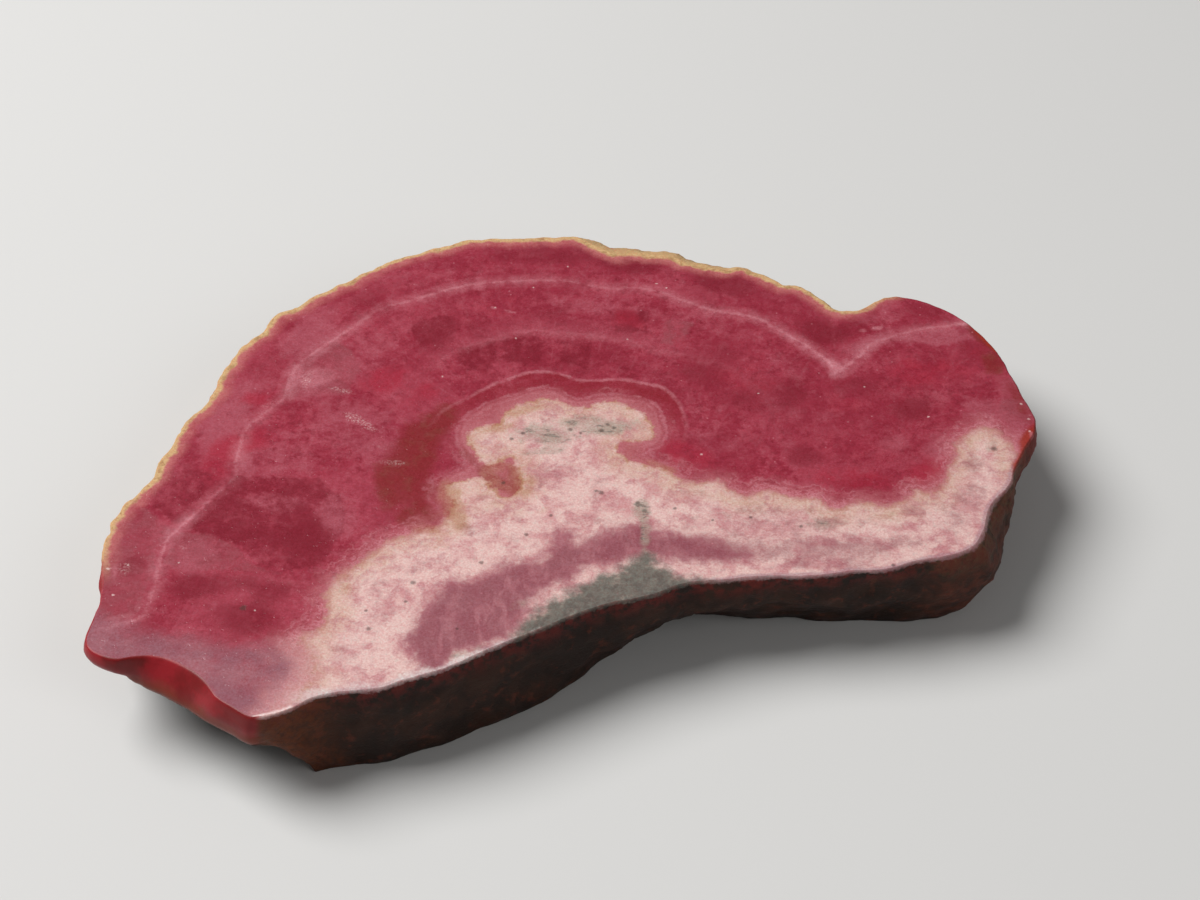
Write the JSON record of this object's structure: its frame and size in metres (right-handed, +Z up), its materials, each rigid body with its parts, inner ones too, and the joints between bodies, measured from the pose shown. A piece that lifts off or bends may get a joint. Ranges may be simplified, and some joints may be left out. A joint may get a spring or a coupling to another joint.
{
  "type": "rhodochrosite slice",
  "caption": "Flat sawn slice of banded pink and raspberry stone with a pale core and a natural rind, resting flat on its lower cut.",
  "frame": {"origin": "under the middle of the slice's overall box, on the surface that it rests on", "axes": "+Z up through the thickness; +X along the longest side, from the narrow chipped tip towards the round lobe; +Y towards the long rounded rind, away from the hollow front edge"},
  "size_m": [0.0572, 0.0434, 0.0065],
  "materials": {
    "banded_stone": "lightly polished sawn faces, rough natural rind and broken edge"
  },
  "bodies": {
    "root": {"rhodochrosite_slice": "banded_stone"}
  },
  "joints": []
}
